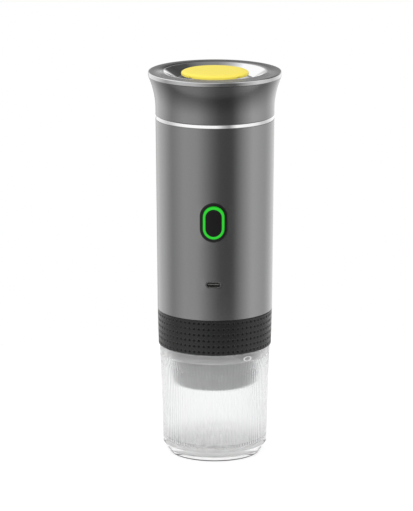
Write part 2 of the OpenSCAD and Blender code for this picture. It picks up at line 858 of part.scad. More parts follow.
// Folded metal shell of the charging socket, closed at the board.
module charging_socket() {
    color("silver") difference() {
        front_bar(socket_w, socket_h, socket_z, socket_front_y, board_front_y);
        front_bar(socket_w - 2 * socket_wall, socket_h - 2 * socket_wall, socket_z,
            socket_front_y - cut, board_front_y - socket_back_t);
    }
}

module socket_tongue() {
    front_y = socket_front_y + tongue_in;
    color("black") translate([-tongue_w / 2, front_y, socket_z - tongue_h / 2])
        cube([tongue_w, board_front_y - socket_back_t - front_y, tongue_h]);
}

module power_switch() {
    color("dimgray") difference() {
        translate([-switch_w / 2, switch_front_y, power_z - switch_w / 2])
            cube([switch_w, switch_t, switch_w]);
        translate([0, switch_front_y - cut, power_z]) rotate([-90, 0, 0])
            cylinder(h = cut + plunger_in + power_travel + run, r = plunger_r + run);
    }
}

module switch_plunger() {
    color("black") translate([0, cap_back_y, power_z]) rotate([-90, 0, 0])
        cylinder(h = switch_front_y - cap_back_y + plunger_in, r = plunger_r);
}

// A stadium bar whose front follows the body's round face.
module faced_bar(w, h, r, back_y) {
    intersection() {
        front_bar(w, h, power_z, -r - cut, back_y);
        disc(r, power_z - h, power_z + h);
    }
}

// Black surround that drops in from inside and stops on its lip.
module button_frame() {
    lip = 2 * frame_lip;
    color("black") difference() {
        union() {
            faced_bar(frame_w, frame_h, face_r, frame_back_y);
            front_bar(frame_w + lip, frame_h + lip, power_z, frame_back_y - frame_lip_t, frame_back_y);
        }
        front_bar(glow_out_w, glow_out_h, power_z, -face_r - cut, frame_back_y + cut);
    }
}

module light_ring() {
    color("limegreen") difference() {
        faced_bar(glow_out_w - 2 * fit, glow_out_h - 2 * fit, face_r, frame_back_y);
        front_bar(cap_w, cap_h, power_z, -face_r - cut, frame_back_y + cut);
    }
}

// Push button, kept in by a lip behind the light ring.
module power_button() {
    color("black") {
        faced_bar(cap_w - 2 * cap_gap, cap_h - 2 * cap_gap, cap_front_r, cap_back_y);
        front_bar(cap_w + 2 * cap_lip, cap_h + 2 * cap_lip, power_z, cap_back_y - cap_lip_t, cap_back_y);
    }
}

// Brew head

// Block at the foot of the body: it takes the pump's spigot and carries the brew head on its boss.
module brew_block() {
    color("darkslategray") difference() {
        union() {
            disc(core_r, shell_z, block_top_z);
            disc(boss_r, boss_z, shell_z);
        }
        translate([0, gallery_y, 0]) {
            disc(spigot_r + fit, block_top_z - spigot_h - fit, block_top_z + cut);
            disc(channel_r, boss_z, block_top_z);
        }
        disc(pierce_plate_r - pierce_plate_in, boss_z - cut, boss_z + pierce_plate_t + plenum_h);
        disc(pierce_plate_r + fit, boss_z - cut, boss_z + pierce_plate_t);
        around(block_screw_angles, block_screw_ring_r)
            disc(screw_r + press_gap, block_screw_z - block_screw_len - fit, block_top_z + cut);
    }
}

// Steel plate over the plenum, with jets for the hot water.
module pierce_plate() {
    color("silver") difference() {
        disc(pierce_plate_r, boss_z, boss_z + pierce_plate_t);
        around(jet_angles, jet_ring_r) disc(jet_r, boss_z - cut, boss_z + pierce_plate_t + cut);
        around(needle_angles, needle_ring_r)
            disc(needle_r + press_gap, boss_z - cut, boss_z + pierce_plate_t + cut);
    }
}

// Points that open the capsule's lid.
module pierce_needles() {
    color("silver") around(needle_angles, needle_ring_r) {
        disc(needle_r, boss_z, boss_z + pierce_plate_t);
        translate([0, 0, boss_z - needle_h]) cylinder(h = needle_h, r1 = needle_tip_r, r2 = needle_r);
    }
}

module brew_gasket() {
    color("firebrick") tube(flange_r - run, basket_mouth_r + brew_seal_in,
        flange_top_z + fit, flange_top_z + fit + seal_t);
}

// Ring inside the brew head: it grips the boss and carries the basket on its ledge.
module basket_carrier() {
    seat_z = flange_top_z - flange_t;
    color("dimgray") rotate_extrude() polygon([
        [ledge_r, carrier_z], [carrier_r, carrier_z], [carrier_r, head_top_z],
        [boss_r + run, head_top_z], [boss_r + run, boss_z - run], [flange_r + fit, boss_z - run],
        [flange_r + fit, seat_z], [ledge_r, seat_z]]);
}

// Tapered cup for one capsule, with drain holes in its floor.
module capsule_basket() {
    floor_low_z = basket_floor_z - basket_wall;
    color("silver") difference() {
        rotate_extrude() polygon([
            [0, floor_low_z], [basket_floor_r + basket_wall, floor_low_z],
            [basket_mouth_r + basket_wall, flange_top_z - flange_t], [flange_r, flange_top_z - flange_t],
            [flange_r, flange_top_z], [basket_mouth_r, flange_top_z],
            [basket_floor_r, basket_floor_z], [0, basket_floor_z]]);
        disc(drain_r, floor_low_z - cut, basket_floor_z + cut);
        around(drain_angles, drain_ring_r) disc(drain_r, floor_low_z - cut, basket_floor_z + cut);
    }
}

// Perforated plate over the spout, with a collar that centres it in the spout's hole.
module outlet_plate() {
    seat_z = nozzle_z + nozzle_wall;
    color("silver") difference() {
        union() {
            disc(outlet_plate_r, seat_z, seat_z + outlet_plate_t);
            disc(spout_r - fit, seat_z - outlet_plate_t, seat_z);
        }
        disc(outlet_hole_r, seat_z - outlet_plate_t - cut, seat_z + outlet_plate_t + cut);
        around(drain_angles, outlet_ring_r)
            disc(outlet_hole_r, seat_z - outlet_plate_t - cut, seat_z + outlet_plate_t + cut);
    }
}

// Smooth housing of the brew head: nozzle, skirt for the cup and a sleeve for the grip ring.
module nozzle_shell() {
    edge = nozzle_wall / 2;
    groove_r = cup_seal_r - cup_seal_wire_r - shaft_gap;
    groove_h = 2 * (cup_seal_wire_r + shaft_gap);
    color("lightgray") rotate_extrude() difference() {
        polygon([
            [spout_r, nozzle_z], [nozzle_low_r - edge, nozzle_z], [nozzle_low_r, nozzle_z + edge],
            [nozzle_top_r, skirt_z], [skirt_r - edge, skirt_z], [skirt_r, skirt_z + edge],
            [skirt_r, grip_z], [sleeve_r, grip_z], [sleeve_r, head_top_z],
            [carrier_r + fit, head_top_z], [carrier_r + fit, carrier_z],
            [skirt_r - nozzle_wall, carrier_z], [skirt_r - nozzle_wall, skirt_z + nozzle_wall],
            [nozzle_top_r - nozzle_wall, skirt_z + nozzle_wall],
            [nozzle_low_r - nozzle_wall, nozzle_z + nozzle_wall], [spout_r, nozzle_z + nozzle_wall]]);
        translate([groove_r, cup_seal_z - groove_h / 2]) square([skirt_r, groove_h]);
    }
}

// Rubber sleeve that is turned and pulled to open the brew head.
module grip_ring() {
    color("dimgray") difference() {
        translate([0, 0, grip_z]) cylinder(h = grip_h, r1 = grip_low_r, r2 = grip_top_r);
        disc(grip_bore_r, grip_z - cut, head_top_z + cut);
    }
}

module cup_seal() {
    color("black") rotate_extrude() translate([cup_seal_r, cup_seal_z]) circle(r = cup_seal_wire_r);
}

// Cup

// Outline of the hollow: a ring of small ridges between two radii.
module flute_outline() {
    polygon([for (i = [0 : 2 * flute_count - 1])
        let (a = 180 * i / flute_count, r = flute_root_r - (i % 2) * flute_depth) r * [cos(a), sin(a)]]);
}

// Clear cup that the machine stands on, fluted inside below a smooth collar.
module cup() {
    color("whitesmoke") difference() {
        rotate_extrude() polygon([
            [0, 0], [cup_foot_r - foot_round, 0], [cup_foot_r, foot_round],
            [cup_low_r - foot_round, cup_chamfer_h - foot_round], [cup_low_r, cup_chamfer_h + foot_round],
            [cup_rim_r, cup_h], [0, cup_h]]);
        disc(foot_recess_r, -cut, foot_recess_h);
        translate([0, 0, cup_floor_z]) linear_extrude(flute_top_z - cup_floor_z + fit) flute_outline();
        disc(cup_bore_r, flute_top_z, cup_h + cut);
    }
}

// Fasteners

// Screws through the lower plate into the brew block, and through the deck into the columns.
module chassis_screws() {
    color("silver") {
        around(block_screw_angles, block_screw_ring_r) translate([0, 0, block_screw_z])
            screw(screw_r, screw_head_r, screw_head_h, block_screw_len);
        around(column_angles, column_ring_r) translate([0, 0, deck_top_z - screw_head_h - fit])
            screw(screw_r, screw_head_r, screw_head_h, column_screw_len - deck_t);
    }
}

// Screws that hold the circuit board to its posts.
module board_screws() {
    color("silver") for (z = [low_board_screw_z, high_board_screw_z], side = [-1, 1])
        translate([side * post_x, board_front_y, z]) rotate([90, 0, 0])
            screw(board_screw_r, board_screw_head_r, board_screw_head_t, board_screw_len);
}

lid_shell();
lid_dish();
lid_core();
lid_gasket();
vent_button();
vent_stem();
vent_valve();
vent_spring();
trim_ring();
body_shell();
tank_collar();
water_tank();
tank_insulation();
heater_plate();
heater_element();
thermistor();
upper_chassis();
lower_chassis();
battery_cells();
battery_tabs();
pump_motor();
pump_cover();
pump_body();
motor_shaft();
drive_gear();
idler_gear();
idler_pin();
inlet_hose();
control_board();
charging_socket();
socket_tongue();
power_switch();
switch_plunger();
button_frame();
light_ring();
power_button();
brew_block();
pierce_plate();
pierce_needles();
brew_gasket();
basket_carrier();
capsule_basket();
outlet_plate();
nozzle_shell();
grip_ring();
cup_seal();
cup();
chassis_screws();
board_screws();
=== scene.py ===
"""Looks of a portable capsule coffee machine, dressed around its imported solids."""
import math

import bmesh
import bpy
import numpy as np
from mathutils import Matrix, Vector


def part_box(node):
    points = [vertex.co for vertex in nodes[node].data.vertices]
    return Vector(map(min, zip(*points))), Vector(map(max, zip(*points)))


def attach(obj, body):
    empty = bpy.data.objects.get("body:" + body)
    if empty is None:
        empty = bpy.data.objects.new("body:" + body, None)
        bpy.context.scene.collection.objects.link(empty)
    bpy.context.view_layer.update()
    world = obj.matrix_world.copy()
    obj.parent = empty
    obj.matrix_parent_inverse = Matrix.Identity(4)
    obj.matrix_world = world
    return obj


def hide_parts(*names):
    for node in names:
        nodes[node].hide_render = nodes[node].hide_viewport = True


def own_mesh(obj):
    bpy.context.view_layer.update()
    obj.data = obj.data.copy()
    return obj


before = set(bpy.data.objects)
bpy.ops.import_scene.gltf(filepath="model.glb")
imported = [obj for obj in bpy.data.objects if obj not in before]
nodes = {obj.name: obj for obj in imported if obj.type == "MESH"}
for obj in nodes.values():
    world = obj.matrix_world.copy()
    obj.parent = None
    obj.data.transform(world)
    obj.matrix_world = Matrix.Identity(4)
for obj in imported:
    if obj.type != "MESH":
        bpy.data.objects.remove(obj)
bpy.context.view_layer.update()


# Camera: a long lens in front of the machine, a little to its right, above its lid and tilted down at it.
# The pixel values are of the photograph's frame; the machine's axis stands right of its centre. Blender
# lays the sensor along the longer side of the picture, which is its height.
PHOTO_W = 413
PHOTO_H = 511
FOCAL_PX = 3470
AXIS_X_PX = 215.1
SENSOR = 36.0
CAMERA_DISTANCE = 2.0
CAMERA_HEIGHT = 0.59
CAMERA_PITCH = math.radians(13.25)
CAMERA_TURN = math.radians(1.25)
CLEAR_BOUNCES = 24
MIRROR_BOUNCES = 16

lens = bpy.data.cameras.new("camera")
lens.sensor_width = SENSOR
lens.lens = FOCAL_PX / PHOTO_H * SENSOR
camera = bpy.data.objects.new("camera", lens)
camera_yaw = math.atan((AXIS_X_PX - PHOTO_W / 2) / FOCAL_PX)
camera.location = (CAMERA_DISTANCE * math.sin(CAMERA_TURN), -CAMERA_DISTANCE * math.cos(CAMERA_TURN),
                   CAMERA_HEIGHT)
camera.rotation_euler = (math.pi / 2 - CAMERA_PITCH, 0, camera_yaw + CAMERA_TURN)
scene = bpy.context.scene
scene.collection.objects.link(camera)
scene.camera = camera
scene.view_settings.view_transform = "Standard"
scene.cycles.max_bounces = CLEAR_BOUNCES
scene.cycles.transmission_bounces = CLEAR_BOUNCES
scene.cycles.glossy_bounces = MIRROR_BOUNCES


# Studio: a white sweep that the camera and the clear cup see, soft boxes that the metal sees, and even
# light for matt surfaces. The low boxes stand below eye level all round and fade downwards, and the high
# panels hang above it, with a dark flag behind on the right and a dim ceiling over all.
SWEEP_WHITE = (1, 1, 1, 1)
ROOM_LIGHT = (1, 1, 1, 1)
CEILING_LIGHT = (0.24, 0.24, 0.24, 1)
# Azimuths in degrees, 0 at the front and positive to the camera's right, each with a brightness.
LOW_BOXES = [(-180, 0.45), (-170, 0.6), (-150, 1.0), (-120, 0.80), (-92, 0.40), (-62, 0.60), (-34, 0.56),
             (-8, 0.26), (10, 0.11), (36, 0.09), (58, 0.46), (80, 0.78), (118, 0.62), (150, 1.0), (176, 1.0),
             (180, 0.45)]
HIGH_PANELS = [(-180, 0.25), (-170, 0.30), (-163, 1.0), (-60, 1.0), (-20, 1.0), (4, 0.92), (18, 0.5),
               (30, 0.3), (46, 0.95), (95, 1.0), (112, 0.10), (155, 0.06), (172, 0.12), (180, 0.30)]
# Heights in the sky, each the upward part of a direction of length 1, and what the low boxes fade to.
LOW_FADE_Z = (-0.62, -0.28)
LOW_FADE = 0.28
EYE_LEVEL_Z = (0.14, 0.30)
CEILING_Z = (0.80, 0.97)
# Sockets of a Mix node that mixes colours: its factor, its two colours and its result.
MIX_BY = 0
MIX_FROM = 6
MIX_TO = 7
MIXED = 2


def add(tree, kind, values=None, links=None, **settings):
    """Adds a node of one kind with its settings, its input values and the sockets that feed it."""
    made = tree.nodes.new(kind)
    for name, value in settings.items():
        setattr(made, name, value)
    for name, value in (values or {}).items():
        made.inputs[name].default_value = value
    for name, socket in (links or {}).items():
        tree.links.new(socket, made.inputs[name])
    return made


def compass(tree, direction):
    """Gives a direction's azimuth, as a fraction of a turn, and its upward part. The azimuth is the
    arctangent of X over minus Y, and goes from 0 at the back, over 0.5 at the front, to 1 at the back."""
    aim = add(tree, "ShaderNodeSeparateXYZ", links={"Vector": direction})
    front = add(tree, "ShaderNodeMath", {1: -1.0}, {0: aim.outputs["Y"]}, operation="MULTIPLY")
    angle = add(tree, "ShaderNodeMath", links={0: aim.outputs["X"], 1: front.outputs[0]},
                operation="ARCTAN2")
    turn = add(tree, "ShaderNodeMapRange", {"From Min": -math.pi, "From Max": math.pi},
               {"Value": angle.outputs[0]})
    return turn.outputs["Result"], aim.outputs["Z"]


def set_ramp(ramp, stops):
    """Gives a colour ramp grey stops, each an azimuth in degrees and a brightness."""
    while len(ramp.elements) < len(stops):
        ramp.elements.new(1.0)
    for element, (degrees, grey) in zip(ramp.elements, stops):
        element.position = degrees / 360 + 0.5
        element.color = (grey, grey, grey, 1)


world = bpy.data.worlds.new("studio")
world.use_nodes = True
scene.world = world
sky = world.node_tree
look = add(sky, "ShaderNodeTexCoord")
sky_turn, sky_rise = compass(sky, look.outputs["Generated"])
low_boxes = add(sky, "ShaderNodeValToRGB", links={"Fac": sky_turn})
set_ramp(low_boxes.color_ramp, LOW_BOXES)
high_panels = add(sky, "ShaderNodeValToRGB", links={"Fac": sky_turn})
set_ramp(high_panels.color_ramp, HIGH_PANELS)
above_eye = add(sky, "ShaderNodeMapRange", {"From Min": EYE_LEVEL_Z[0], "From Max": EYE_LEVEL_Z[1]},
                {"Value": sky_rise})
overhead = add(sky, "ShaderNodeMapRange", {"From Min": CEILING_Z[0], "From Max": CEILING_Z[1]},
               {"Value": sky_rise})
low_fade = add(sky, "ShaderNodeMapRange",
               {"From Min": LOW_FADE_Z[0], "From Max": LOW_FADE_Z[1], "To Min": LOW_FADE},
               {"Value": sky_rise})
low_walls = add(sky, "ShaderNodeMix", {MIX_BY: 1.0},
                {MIX_FROM: low_boxes.outputs["Color"], MIX_TO: low_fade.outputs["Result"]},
                data_type="RGBA", blend_type="MULTIPLY")
walls = add(sky, "ShaderNodeMix", data_type="RGBA",
            links={MIX_BY: above_eye.outputs["Result"], MIX_FROM: low_walls.outputs[MIXED],
                   MIX_TO: high_panels.outputs["Color"]})
mirrored = add(sky, "ShaderNodeMix", {MIX_TO: CEILING_LIGHT},
               {MIX_BY: overhead.outputs["Result"], MIX_FROM: walls.outputs[MIXED]}, data_type="RGBA")
ray = add(sky, "ShaderNodeLightPath")
straight = add(sky, "ShaderNodeMath", operation="MAXIMUM",
               links={0: ray.outputs["Is Camera Ray"], 1: ray.outputs["Transmission Depth"]})
room = add(sky, "ShaderNodeMix", {MIX_FROM: ROOM_LIGHT},
           {MIX_BY: ray.outputs["Is Glossy Ray"], MIX_TO: mirrored.outputs[MIXED]}, data_type="RGBA")
seen = add(sky, "ShaderNodeMix", {MIX_TO: SWEEP_WHITE},
           {MIX_BY: straight.outputs[0], MIX_FROM: room.outputs[MIXED]}, data_type="RGBA")
sky.links.new(seen.outputs[MIXED], sky.nodes["Background"].inputs["Color"])


# Floor: a board under the cup, painted matt. It looks white to the camera, through the cup, and to a mirror
# close to it, and dim to mirrors further up, with the boxes' light and dark lying on it. It stays under the
# cup, which the machine stands on, when the machine is lifted off it.
MM = 0.001
MERGE_M = 1e-7
FLOOR_R = 280
FLOOR_DROP = 0.1
FLOOR_COLUMNS = 96
FLOOR_PALE = "909090"
FLOOR_GLOW = 0.80
FLOOR_MIRRORED = (0.06, 0.56)
FLOOR_NEAR_M = (0.16, 0.25)


def linear(colour):
    """Turns an sRGB hex colour, by the sRGB curve, into linear red, green, blue and an alpha of 1."""
    srgb = np.array([int(colour[i:i + 2], 16) for i in (0, 2, 4)]) / 255
    value = np.where(srgb <= 0.04045, srgb / 12.92, ((srgb + 0.055) / 1.055) ** 2.4)
    return np.append(value, 1.0)


def surface(name, grid, loop=False):
    """A mesh through a grid of points in millimetres, rows by columns, with a face on each four neighbours.
    The last column joins the first, and with loop the last row joins the first too. Points that fall
    together, as at a pole, are merged, and the faces are shaded smooth."""
    rows, columns = grid.shape[:2]
    index = np.arange(rows * columns).reshape(rows, columns)
    index = np.concatenate([index, index[:, :1]], axis=1)
    if loop:
        index = np.concatenate([index, index[:1]], axis=0)
    corners = (index[:-1, :-1], index[:-1, 1:], index[1:, 1:], index[1:, :-1])
    quads = np.stack(corners, axis=-1).reshape(-1, 4)
    mesh = bpy.data.meshes.new(name)
    mesh.from_pydata(grid.reshape(-1, 3) * MM, [], quads)
    shape = bmesh.new()
    shape.from_mesh(mesh)
    bmesh.ops.remove_doubles(shape, verts=shape.verts, dist=MERGE_M)
    shape.to_mesh(mesh)
    shape.free()
    mesh.polygons.foreach_set("use_smooth", np.ones(len(mesh.polygons), dtype=bool))
    piece = bpy.data.objects.new(name, mesh)
    scene.collection.objects.link(piece)
    return piece


def full_turn(columns):
    """The angles of columns that are spread evenly over one turn."""
    return np.arange(columns) * 2 * np.pi / columns


def turn_round(radius, height, columns):
    """Turns a profile of radii and heights round the Z axis into a grid, one row for each profile point. The
    radius may differ from column to column."""
    angle = full_turn(columns)
    radius = np.broadcast_to(np.asarray(radius, float).reshape(len(height), -1), (len(height), columns))
    level = np.broadcast_to(np.asarray(height, float)[:, None], radius.shape)
    return np.stack([radius * np.cos(angle), radius * np.sin(angle), level], axis=-1)


floor = surface("floor", turn_round([0, FLOOR_R], [-FLOOR_DROP, -FLOOR_DROP], FLOOR_COLUMNS)[::-1])
floor_paint = bpy.data.materials.new("pale_floor_paint")
floor_paint.use_nodes = True
floor_tree = floor_paint.node_tree
floor_tree.nodes.remove(floor_tree.nodes["Principled BSDF"])
floor_ray = add(floor_tree, "ShaderNodeLightPath")
floor_straight = add(floor_tree, "ShaderNodeMath", operation="MAXIMUM",
                     links={0: floor_ray.outputs["Is Camera Ray"],
                            1: floor_ray.outputs["Transmission Depth"]})
floor_mirror = add(floor_tree, "ShaderNodeMath", operation="SUBTRACT", use_clamp=True,
                   links={0: floor_ray.outputs["Is Glossy Ray"], 1: floor_straight.outputs[0]})
floor_glow = add(floor_tree, "ShaderNodeMapRange", {"To Max": FLOOR_GLOW},
                 {"Value": floor_straight.outputs[0]})
floor_light = add(floor_tree, "ShaderNodeEmission", links={"Strength": floor_glow.outputs["Result"]})
floor_place = add(floor_tree, "ShaderNodeTexCoord")
floor_turn = compass(floor_tree, floor_place.outputs["Object"])[0]
floor_boxes = add(floor_tree, "ShaderNodeValToRGB", links={"Fac": floor_turn})
set_ramp(floor_boxes.color_ramp, LOW_BOXES)
floor_sheen = add(floor_tree, "ShaderNodeMapRange",
                  {"To Min": FLOOR_MIRRORED[0], "To Max": FLOOR_MIRRORED[1]},
                  {"Value": floor_boxes.outputs["Color"]})
floor_far = add(floor_tree, "ShaderNodeMapRange", {"From Min": FLOOR_NEAR_M[0], "From Max": FLOOR_NEAR_M[1]},
                {"Value": floor_ray.outputs["Ray Length"]})
floor_tone = add(floor_tree, "ShaderNodeMix", {MIX_FROM: SWEEP_WHITE},
                 {MIX_BY: floor_far.outputs["Result"], MIX_TO: floor_sheen.outputs["Result"]},
                 data_type="RGBA")
floor_colour = add(floor_tree, "ShaderNodeMix", {MIX_FROM: linear(FLOOR_PALE)},
                   {MIX_BY: floor_mirror.outputs[0], MIX_TO: floor_tone.outputs[MIXED]}, data_type="RGBA")
floor_matt = add(floor_tree, "ShaderNodeBsdfDiffuse", links={"Color": floor_colour.outputs[MIXED]})
floor_sum = add(floor_tree, "ShaderNodeAddShader",
                links={0: floor_light.outputs[0], 1: floor_matt.outputs[0]})
floor_tree.links.new(floor_sum.outputs[0], floor_tree.nodes["Material Output"].inputs["Surface"])
floor.data.materials.append(floor_paint)
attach(floor, "cup")


# Lamp: a soft square light in front on the upper left, aimed at the foot of the machine. It gives the matt
# pieces some shape, and mirrors don't show it.
LAMP_PLACE = (-0.7, -1.3, 1.2)
LAMP_SIZE = 0.7
LAMP_WATTS = 6.0

key = bpy.data.lights.new("key_lamp", "AREA")
key.size = LAMP_SIZE
key.energy = LAMP_WATTS
lamp = bpy.data.objects.new("key_lamp", key)
lamp.location = LAMP_PLACE
lamp.rotation_euler = (math.atan2(math.hypot(*LAMP_PLACE[:2]), LAMP_PLACE[2]), 0,
                       math.atan2(LAMP_PLACE[0], -LAMP_PLACE[1]))
lamp.visible_glossy = False
scene.collection.objects.link(lamp)


# Steel: the tank, basket, plates, needles, vent spring, shaft, pin, tabs, screws, the motor's can and the
# socket's shell are stamped, turned or drawn from stainless steel. It is bright, with fine marks left by the
# rolls and dies, which are drawn coarser than they are, to show.
STEEL = ["water_tank", "pierce_plate", "pierce_needles", "capsule_basket", "outlet_plate", "vent_spring",
         "motor_shaft", "idler_pin", "battery_tabs", "charging_socket", "chassis_screws", "board_screws",
         "pump_motor"]
ROLL_MARK_MM = 1.5
NOISE_DETAIL = 3.0
NOISE_SPAN = (0.3, 0.7)


def new_finish(name, colour, grain_mm, roughness, spread=0.03, relief_mm=0.0, **sockets):
    """A material that wanders with a fine noise, in lumps about grain_mm across. Its roughness goes between
    its two values as the noise goes over its usual span. Its tone goes from colour times (1 - spread) to
    colour times (1 + spread), and is the plain colour where spread is 0. Its surface rises by relief_mm from
    the noise's lowest to its highest. Other names are sockets of the shader."""
    made = bpy.data.materials.new(name)
    made.use_nodes = True
    tree = made.node_tree
    shader = tree.nodes["Principled BSDF"]
    tone = linear(colour)
    shader.inputs["Base Color"].default_value = tone
    for socket, value in sockets.items():
        shader.inputs[socket.replace("_", " ")].default_value = value
    place = add(tree, "ShaderNodeTexCoord")
    noise = add(tree, "ShaderNodeTexNoise", {"Scale": 1 / (grain_mm * MM), "Detail": NOISE_DETAIL},
                {"Vector": place.outputs["Object"]})
    gloss = add(tree, "ShaderNodeMapRange",
                {"From Min": NOISE_SPAN[0], "From Max": NOISE_SPAN[1],
                 "To Min": roughness[0], "To Max": roughness[1]},
                {"Value": noise.outputs["Fac"]})
    tree.links.new(gloss.outputs["Result"], shader.inputs["Roughness"])
    if spread:
        tones = add(tree, "ShaderNodeMix",
                    {MIX_FROM: tone * (1 - spread), MIX_TO: np.minimum(tone * (1 + spread), 1)},
                    {MIX_BY: noise.outputs["Fac"]}, data_type="RGBA")
        tree.links.new(tones.outputs[MIXED], shader.inputs["Base Color"])
    if relief_mm:
        bump = add(tree, "ShaderNodeBump", {"Distance": relief_mm * MM}, {"Height": noise.outputs["Fac"]})
        tree.links.new(bump.outputs["Normal"], shader.inputs["Normal"])
    return made


def paint(finish, names):
    """Gives CAD nodes a finish."""
    for name in names:
        nodes[name].material_slots[0].material = finish


paint(new_finish("stainless_steel", "c9c9c7", ROLL_MARK_MM, (0.20, 0.32), Metallic=1.0), STEEL)


# Dark mouldings: the chassis, the collar round the tank, the brew block, the basket's carrier, the lid's core
# and the vent's stem are moulded in glass-filled nylon and screwed or pressed together. It is dark grey with
# a fine grain from a spark-eroded mould, drawn coarser than it is, to show.
MOULDINGS = ["lid_core", "tank_collar", "upper_chassis", "lower_chassis", "brew_block", "basket_carrier",
             "vent_stem"]
SPARK_GRAIN_MM = 0.5

filled_nylon = new_finish("glass_filled_nylon", "35373a", SPARK_GRAIN_MM, (0.48, 0.62), spread=0.08,
                          relief_mm=0.02)
paint(filled_nylon, MOULDINGS)


# Seals: the lid's gasket, the vent valve and the inlet hose are white silicone, the cup's seal is grey, and
# the brew gasket is red. They are moulded in polished steel, then dusted, so they are soft and slightly
# milky to the eye.
SILICONE_BLOOM_MM = 2.0
SILICONE_ROUGH = (0.42, 0.55)
SILICONE_DEPTH = (2 * MM, 2 * MM, 1.6 * MM)

white_silicone = new_finish("white_silicone", "e6e4de", SILICONE_BLOOM_MM, SILICONE_ROUGH,
                            Subsurface_Weight=0.15, Subsurface_Radius=SILICONE_DEPTH)
red_silicone = new_finish("red_silicone", "b0392c", SILICONE_BLOOM_MM, SILICONE_ROUGH, spread=0.06)
grey_silicone = new_finish("grey_silicone", "a2a2a2", SILICONE_BLOOM_MM, SILICONE_ROUGH)
paint(white_silicone, ["lid_gasket", "vent_valve", "inlet_hose"])
paint(grey_silicone, ["cup_seal"])
paint(red_silicone, ["brew_gasket"])


# Heater, wrap and cells: a cast aluminium plate with a ceramic element under the tank, felt round the tank,
# and three cells in shrink wrap. The casting is dull and grainy, the felt is tufted and matt, and the wrap
# has a soft shine. They show only where the machine is taken apart.
CAST_GRAIN_MM = 0.8
FELT_TUFT_MM = 0.6
WRAP_RIPPLE_MM = 4.0

cast_aluminium = new_finish("cast_aluminium", "a9abad", CAST_GRAIN_MM, (0.42, 0.60), spread=0.05,
                            relief_mm=0.04, Metallic=1.0)
ceramic = new_finish("fired_ceramic", "d8d2c4", CAST_GRAIN_MM, (0.50, 0.60), spread=0.05)
felt = new_finish("insulating_felt", "c8c2b2", FELT_TUFT_MM, (0.92, 0.98), spread=0.12, relief_mm=0.15)
shrink_wrap = new_finish("shrink_wrap", "2f6fb0", WRAP_RIPPLE_MM, (0.25, 0.38), spread=0.08)
paint(cast_aluminium, ["heater_plate"])
paint(ceramic, ["heater_element", "thermistor"])
paint(felt, ["tank_insulation"])
paint(shrink_wrap, ["battery_cells"])


# Pump and board: an acetal gear pump on the motor, and a green circuit board with black parts soldered
# to it. Acetal is waxy and even, and the board's lacquer is glossy over a faint weave of glass cloth.
ACETAL_CLOUD_MM = 1.2
ACETAL_DEPTH = (1 * MM, 1 * MM, 0.8 * MM)
GLASS_CLOTH_MM = 0.7

acetal = new_finish("white_acetal", "dcdad2", ACETAL_CLOUD_MM, (0.34, 0.46), Subsurface_Weight=0.08,
                    Subsurface_Radius=ACETAL_DEPTH)
board_lacquer = new_finish("board_lacquer", "1f6a3a", GLASS_CLOTH_MM, (0.22, 0.28), spread=0.12)
epoxy = new_finish("moulded_epoxy", "1d1e20", ACETAL_CLOUD_MM, (0.40, 0.55))
paint(acetal, ["pump_cover", "pump_body", "drive_gear", "idler_gear"])
paint(board_lacquer, ["control_board"])
paint(epoxy, ["power_switch", "switch_plunger"])


# Body shell: a drawn steel tube that holds the chassis, the button's frame and the charging socket. It is
# sprayed with a grey metallic lacquer and a satin clear coat, so it shows the boxes as soft upright bands.
# The lacquer's flakes are drawn coarser than they are, to show.
FLAKE_MM = 0.35

satin_lacquer = new_finish("satin_grey_lacquer", "ababab", FLAKE_MM, (0.20, 0.23), spread=0.01, Metallic=1.0)
paint(satin_lacquer, ["body_shell"])


# Trim ring: a turned and polished steel ring between the shell and the lid. It is plated bright, and its
# face leans back a little, so it picks up the panels above it.
TRIM_R = 34.9
TRIM_BORE_R = 30.9
TRIM_TOP_R = 34.25
TRIM_Z = (202.0, 204.2)
TRIM_ROUND = 0.3
EDGE_HOLD = 0.12
RING_COLUMNS = 360
PLATE_RIPPLE_MM = 1.5


def rounded(corners, steps=8):
    """An outline of radii and heights through corners, each (radius, height, fillet). A fillet is an arc
    that touches both sides of its corner, and each straight side has a point close to either end of it,
    which holds its shading flat."""
    place = np.array([corner[:2] for corner in corners], float)
    before = np.roll(place, 1, axis=0) - place
    after = np.roll(place, -1, axis=0) - place
    outline = []
    for corner, back, ahead, fillet in zip(place, before, after, [c[2] for c in corners]):
        if fillet == 0:
            outline.append(corner[None])
            continue
        back = back / np.linalg.norm(back)
        ahead = ahead / np.linalg.norm(ahead)
        half = math.acos(np.clip(back @ ahead, -1, 1)) / 2
        middle = corner + (back + ahead) / np.linalg.norm(back + ahead) * fillet / math.sin(half)
        first = corner + back * fillet / math.tan(half) - middle
        last = corner + ahead * fillet / math.tan(half) - middle
        sweep = math.atan2(first[0] * last[1] - first[1] * last[0], first @ last)
        angle = math.atan2(first[1], first[0]) + np.linspace(0, sweep, steps + 1)
        arc = middle + fillet * np.stack([np.cos(angle), np.sin(angle)], axis=-1)
        near = min(EDGE_HOLD, fillet)
        outline.append(np.concatenate([[arc[0] + back * near], arc, [arc[-1] + ahead * near]]))
    return np.concatenate(outline)


def dress(piece, finish, node, body):
    """Gives a new piece its finish and slot, shows it instead of a CAD node and lets it ride on a body."""
    piece.data.materials.append(finish)
    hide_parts(node)
    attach(piece, body)


